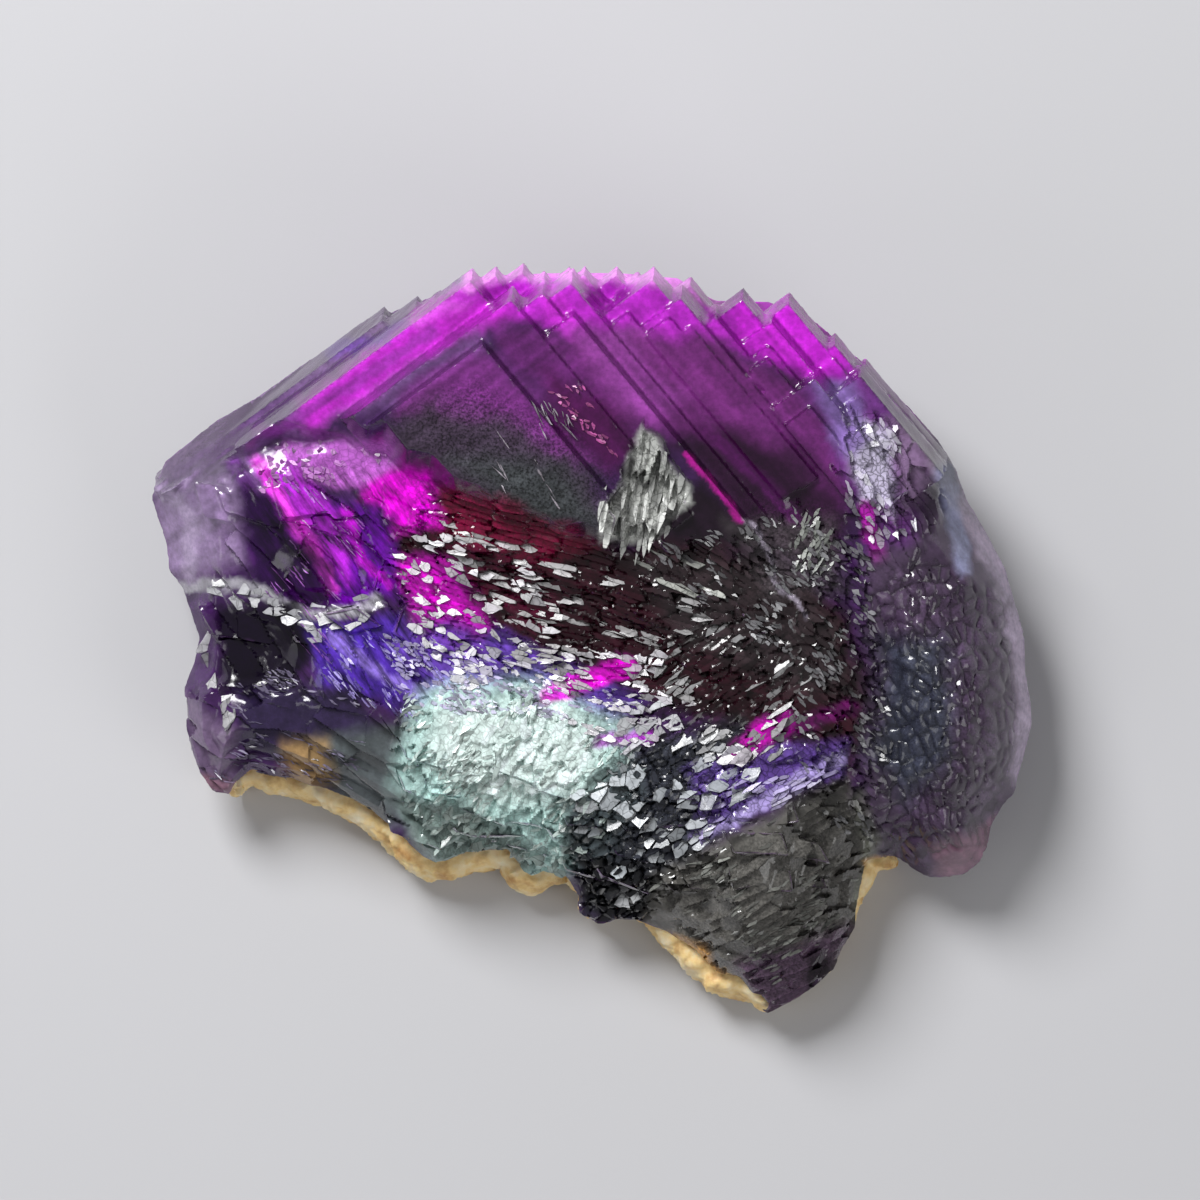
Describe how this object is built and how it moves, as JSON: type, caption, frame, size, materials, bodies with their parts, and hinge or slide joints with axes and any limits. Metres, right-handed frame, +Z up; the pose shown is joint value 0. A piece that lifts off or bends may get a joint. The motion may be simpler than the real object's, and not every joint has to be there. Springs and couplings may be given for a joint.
{
  "type": "fluorite specimen",
  "caption": "Purple fluorite crystal mass with stepped cube-corner growth plates along a curved crest, a chipped stepped front, a blunt lower point and an ochre matrix rim.",
  "frame": {"origin": "middle of the specimen's footprint, on the surface it lies on", "axes": "+X from the left tip to the right lobe, +Y from the lower point to the crest, +Z up out of the crystal face, towards the eye"},
  "size_m": [0.052, 0.0444, 0.0186],
  "materials": {
    "purple_fluorite": "glassy, translucent purple to grey-green, with polished-looking growth faces and a rough broken front",
    "ochre_matrix": "dull, crumbly, iron-stained"
  },
  "bodies": {
    "root": {"fluorite": "purple_fluorite", "matrix_crust": "ochre_matrix"}
  },
  "joints": []
}
